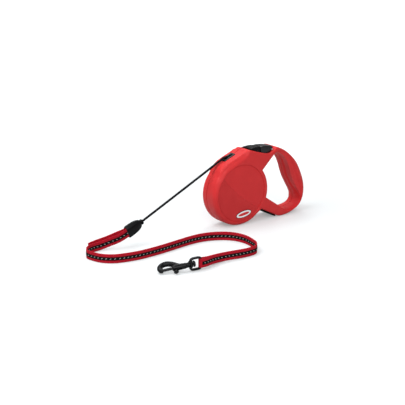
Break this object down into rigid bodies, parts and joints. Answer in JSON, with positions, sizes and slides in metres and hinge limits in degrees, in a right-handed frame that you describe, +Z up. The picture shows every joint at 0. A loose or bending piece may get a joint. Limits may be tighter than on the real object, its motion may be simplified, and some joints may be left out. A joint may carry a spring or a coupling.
{
  "type": "retractable leash",
  "caption": "Retractable cord leash: two-shell casing with closed grip and brake button, sprung ratchet spool, cord, coupler, webbing and swivel bolt snap.",
  "frame": {"origin": "the spool's axis on the casing's back face", "axes": "+X towards the grip, -X towards the cord's way out, +Z up as it stands, -Y the face with the badge"},
  "size_m": [0.3621, 0.1419, 0.1088],
  "materials": {
    "casing_red": "moulded ABS, semi-gloss with a fine grain",
    "badge_enamel": "enamelled plate, satin",
    "steel": "plain steel",
    "gloss_black": "polished",
    "pad_rubber": "matte",
    "spool_nylon": "moulded nylon, matte",
    "bush_brass": "turned",
    "cord_black": "tightly woven cord",
    "button_black": "moulded, semi-gloss",
    "coupler_black": "moulded, satin",
    "webbing_red": "woven nylon webbing",
    "tracer_black": "woven ribbon with reflective stitches",
    "snap_metal": "black nickel, polished"
  },
  "bodies": {
    "casing": {"front_shell": "casing_red", "rear_shell": "casing_red", "badge": "badge_enamel", "housing_screw_1": "steel", "housing_screw_2": "steel", "housing_screw_3": "steel", "housing_screw_4": "steel", "housing_screw_5": "steel", "cord_outlet": "gloss_black", "handle_foot": "pad_rubber", "spindle": "steel", "button_pin": "steel", "pawl_pin": "steel", "spring_arbor": "steel", "button_spring": "steel", "cord": "cord_black"},
    "spool": {"spool": "spool_nylon", "spool_cover": "spool_nylon", "spool_bush": "bush_brass", "wound_cord": "cord_black", "mainspring": "steel"},
    "leash_end": {"coupler_front": "coupler_black", "coupler_rear": "coupler_black", "coupler_pin": "steel", "cord_knot": "cord_black", "cord_collar": "coupler_black", "webbing": "webbing_red", "tracer_outer": "tracer_black", "tracer_inner": "tracer_black"},
    "brake_key": {"brake_button": "button_black"},
    "pawl": {"brake_pawl": "steel"},
    "lock": {"lock_slider": "button_black"},
    "eye": {"swivel_eye": "snap_metal"},
    "snap": {"snap_body": "snap_metal", "swivel_stud": "snap_metal", "bolt_spring": "steel"},
    "bolt": {"snap_bolt": "snap_metal", "bolt_knob": "snap_metal"}
  },
  "joints": [
    {"name": "leash_pull", "type": "slide", "parent": "casing", "child": "leash_end", "axis": [-1, 0, 0], "range_m": [-0.097, 4.2977], "deforming": ["cord"]},
    {"name": "spool_spin", "type": "hinge", "parent": "casing", "child": "spool", "pos_m": [0, -0.016, 0], "axis": [0, -1, 0], "range_deg": [-196, 8641], "deforming": ["mainspring"]},
    {"name": "brake_press", "type": "hinge", "parent": "casing", "child": "brake_key", "pos_m": [0.0546, -0.016, 0.0552], "axis": [0, -1, 0], "range_deg": [0, 8.5], "deforming": ["button_spring"]},
    {"name": "pawl_swing", "type": "hinge", "parent": "casing", "child": "pawl", "pos_m": [0.014, -0.016, 0.0505], "axis": [0, 1, 0], "range_deg": [0, 6.2]},
    {"name": "lock_slide", "type": "slide", "parent": "casing", "child": "lock", "axis": [-0.9573, 0, 0.2891], "range_m": [0, 0.004]},
    {"name": "eye_pivot", "type": "hinge", "parent": "leash_end", "child": "eye", "pos_m": [-0.1477, -0.1378, -0.0375], "axis": [0, 0, 1], "range_deg": [-20, 20]},
    {"name": "snap_swivel", "type": "hinge", "parent": "eye", "child": "snap", "pos_m": [-0.16259, -0.13597, -0.0375], "axis": [-0.9327, 0.3395, -0.1219], "continuous": true},
    {"name": "bolt_slide", "type": "slide", "parent": "snap", "child": "bolt", "axis": [0.9327, -0.3395, 0.1219], "range_m": [0, 0.0064], "deforming": ["bolt_spring"]}
  ],
  "couplings": [
    {"joint": "spool_spin", "follows": "leash_pull", "rad_per_m": 35.088},
    {"joint": "pawl_swing", "follows": "brake_press", "ratio": 0.68}
  ]
}
